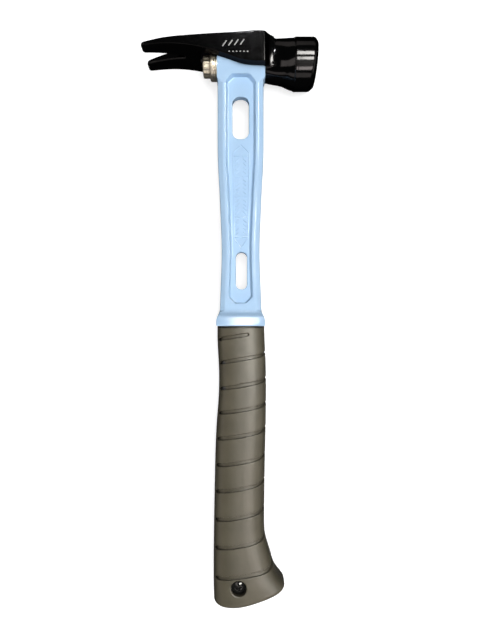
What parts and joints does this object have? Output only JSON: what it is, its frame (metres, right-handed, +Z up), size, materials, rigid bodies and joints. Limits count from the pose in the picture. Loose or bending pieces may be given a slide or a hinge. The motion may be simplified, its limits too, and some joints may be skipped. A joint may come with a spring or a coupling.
{
  "type": "framing hammer",
  "caption": "Claw hammer with a one-piece steel head bolted to a ribbed metal handle and a spiral-grooved rubber grip.",
  "frame": {"origin": "bottom centre of the bounding box, with the hammer lying on its side", "axes": "+X along the blow towards the striking face, which leans 4 degrees towards the handle, +Y along the handle towards the head, +Z up, across the hammer"},
  "size_m": [0.1284, 0.4167, 0.0368],
  "materials": {
    "black_steel": "polished black coating on forged steel",
    "blue_handle": "light blue powder coat, satin",
    "bright_steel": "bright zinc plate",
    "grip_rubber": "matte moulded rubber",
    "core_plastic": "moulded",
    "black_screw": "glossy black plate",
    "magnet_nickel": "nickel plate"
  },
  "bodies": {
    "root": {"head": "black_steel", "nail_magnet": "magnet_nickel", "handle": "blue_handle", "head_bolt": "bright_steel", "lock_washer_outer": "bright_steel", "lock_washer_inner": "bright_steel", "grip_core": "core_plastic", "grip": "grip_rubber", "grip_screw": "black_screw", "grip_barrel_nut": "black_screw"}
  },
  "joints": []
}
